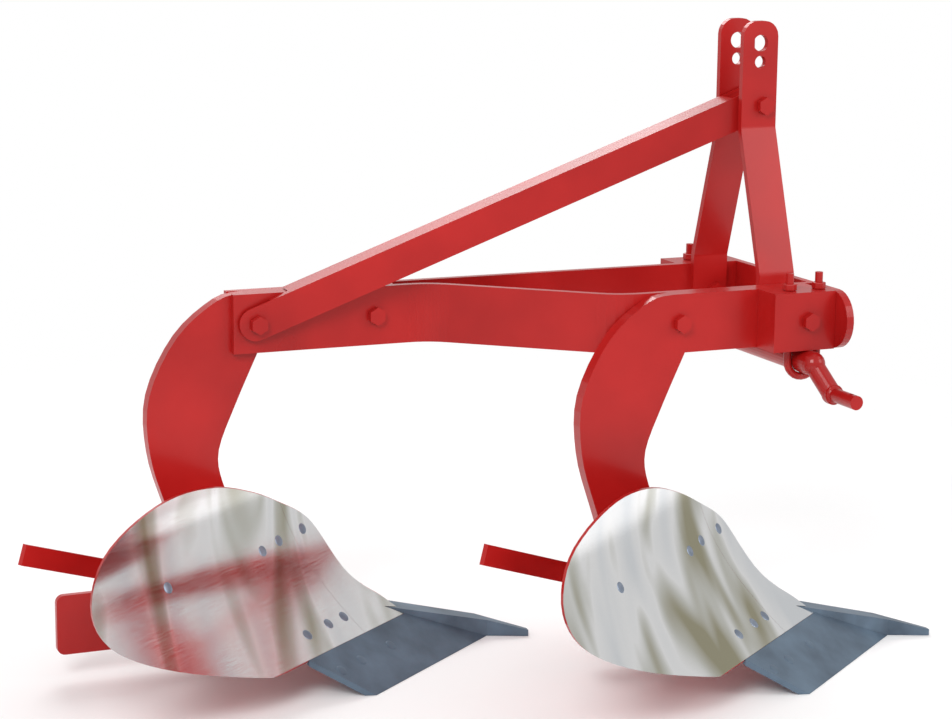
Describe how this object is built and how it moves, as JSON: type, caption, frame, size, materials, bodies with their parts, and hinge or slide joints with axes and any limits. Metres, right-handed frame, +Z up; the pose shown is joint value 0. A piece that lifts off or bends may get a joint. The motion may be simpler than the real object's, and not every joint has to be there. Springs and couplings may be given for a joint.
{
  "type": "moldboard plough",
  "caption": "Two-furrow mounted moldboard plough: red frame with mast and back brace, curved legs, polished boards, dark shares and a cranked cross shaft.",
  "frame": {"origin": "on the ground, under the middle of the whole plough's box", "axes": "+X forward to the tractor, +Y to the left, +Z up"},
  "size_m": [1.4502, 0.784, 0.974],
  "materials": {
    "red_enamel": "glossy enamel",
    "polished_steel": "mirror polished",
    "share_steel": "semi-gloss blue-grey"
  },
  "bodies": {
    "plough": {"back_brace": "red_enamel", "brace_pivot_bolt": "red_enamel", "front_crossmember": "red_enamel", "front_frog": "red_enamel", "front_landside": "red_enamel", "front_leg": "red_enamel", "front_leg_bolt": "red_enamel", "front_moldboard": "polished_steel", "front_moldboard_strut": "red_enamel", "front_share": "share_steel", "front_share_point": "share_steel", "front_shin": "polished_steel", "front_stay_bar": "red_enamel", "left_beam": "red_enamel", "left_bracket_bolt": "red_enamel", "left_hitch_bracket": "red_enamel", "left_mast_strap": "red_enamel", "left_u_bolt": "red_enamel", "mast_bolt": "red_enamel", "rear_frog": "red_enamel", "rear_landside": "red_enamel", "rear_leg": "red_enamel", "rear_leg_bolt": "red_enamel", "rear_moldboard": "polished_steel", "rear_moldboard_strut": "red_enamel", "rear_share": "share_steel", "rear_share_point": "share_steel", "rear_shin": "polished_steel", "rear_stay_bar": "red_enamel", "right_beam": "red_enamel", "right_bracket_bolt": "red_enamel", "right_hitch_bracket": "red_enamel", "right_mast_strap": "red_enamel", "right_u_bolt": "red_enamel"},
    "cross_shaft": {"cross_shaft": "red_enamel"}
  },
  "joints": [
    {"name": "cross_shaft_turn", "type": "hinge", "parent": "plough", "child": "cross_shaft", "pos_m": [0.47611, 0.08299, 0.4657], "axis": [0, 1, 0], "range_deg": [-20, 20]}
  ]
}
